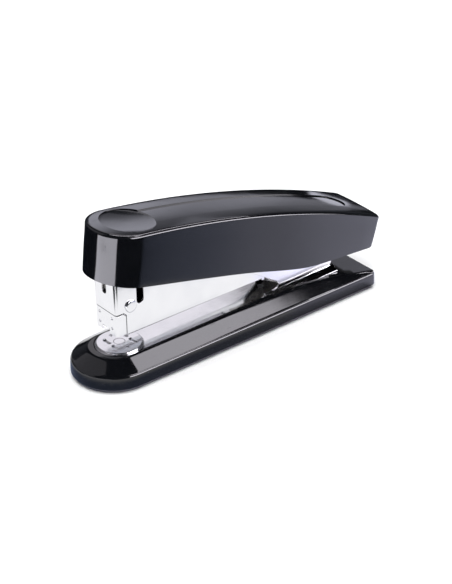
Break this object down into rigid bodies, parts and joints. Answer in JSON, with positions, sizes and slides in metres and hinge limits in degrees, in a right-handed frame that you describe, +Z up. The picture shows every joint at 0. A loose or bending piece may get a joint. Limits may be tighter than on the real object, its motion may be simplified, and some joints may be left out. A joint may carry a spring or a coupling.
{
  "type": "stapler",
  "caption": "Full-strip desktop stapler with a long low base, turning anvil, sprung steel magazine with front staple drawer, and a glossy cover over the driver arm.",
  "frame": {"origin": "on the desk, under the middle of the base", "axes": "+X runs from the nose to the hinge end, +Y is the far side with the nose to the left, +Z is up"},
  "size_m": [0.172, 0.0446, 0.0778],
  "materials": {
    "black_gloss": "moulded ABS, high gloss",
    "sole_rubber": "matt moulded rubber",
    "bright_chrome": "polished nickel-chrome plate",
    "spring_steel": "drawn spring wire and hardened strip",
    "zinc_steel": "zinc-plated pressed steel",
    "black_nylon": "moulded nylon, matt"
  },
  "bodies": {
    "base": {"base_shell": "black_gloss", "sole_pad": "sole_rubber", "base_rail": "bright_chrome", "rail_screws": "zinc_steel", "hinge_axle": "zinc_steel", "axle_clips": "spring_steel", "lift_spring": "spring_steel"},
    "anvil": {"anvil_disc": "bright_chrome", "anvil_stem": "bright_chrome", "anvil_clip": "spring_steel", "anvil_spring": "spring_steel"},
    "magazine": {"magazine_housing": "bright_chrome", "housing_rivets": "bright_chrome", "axle_washers": "black_nylon", "handle_spring": "spring_steel"},
    "blade": {"driver_blade": "spring_steel"},
    "handle": {"driver_arm": "zinc_steel", "stroke_pin": "zinc_steel", "axle_sleeve": "black_nylon", "handle_cover": "black_gloss", "cover_screws": "zinc_steel"},
    "drawer": {"drawer_channel": "bright_chrome", "drawer_nose": "bright_chrome", "staple_core": "zinc_steel", "drawer_end": "black_nylon", "guide_rod": "zinc_steel", "pusher_spring": "spring_steel"},
    "pusher": {"pusher": "zinc_steel"},
    "button": {"release_button": "black_nylon", "button_cap": "black_gloss", "button_spring": "spring_steel"}
  },
  "joints": [
    {"name": "magazine_hinge", "type": "hinge", "parent": "base", "child": "magazine", "pos_m": [0.0543, 0, 0.031], "axis": [0, -1, 0], "range_deg": [0, 3.6], "stiffness_Nm_per_rad": 1.5, "springref_deg": -14.32, "deforming": ["lift_spring"]},
    {"name": "handle_hinge", "type": "hinge", "parent": "magazine", "child": "handle", "pos_m": [0.0543, 0, 0.031], "axis": [0, -1, 0], "range_deg": [0, 5.4], "stiffness_Nm_per_rad": 3, "springref_deg": -17.19, "deforming": ["handle_spring"]},
    {"name": "blade_slide", "type": "slide", "parent": "magazine", "child": "blade", "axis": [0, 0, -1], "range_m": [0, 0.0112]},
    {"name": "drawer_slide", "type": "slide", "parent": "magazine", "child": "drawer", "axis": [1, 0, 0], "range_m": [-0.09, 0]},
    {"name": "pusher_slide", "type": "slide", "parent": "drawer", "child": "pusher", "axis": [1, 0, 0], "range_m": [0, 0.078], "stiffness_N_per_m": 15, "springref_m": -0.1, "deforming": ["pusher_spring"]},
    {"name": "anvil_turn", "type": "hinge", "parent": "base", "child": "anvil", "pos_m": [-0.0587, 0, 0.0124], "axis": [0, 0, 1], "range_deg": [0, 180]},
    {"name": "button_slide", "type": "slide", "parent": "magazine", "child": "button", "axis": [-1, 0, 0], "range_m": [0, 0.003], "stiffness_N_per_m": 300, "springref_m": -0.005, "deforming": ["button_spring"]}
  ],
  "couplings": [
    {"joint": "blade_slide", "follows": "handle_hinge", "m_per_rad": 0.1188}
  ]
}
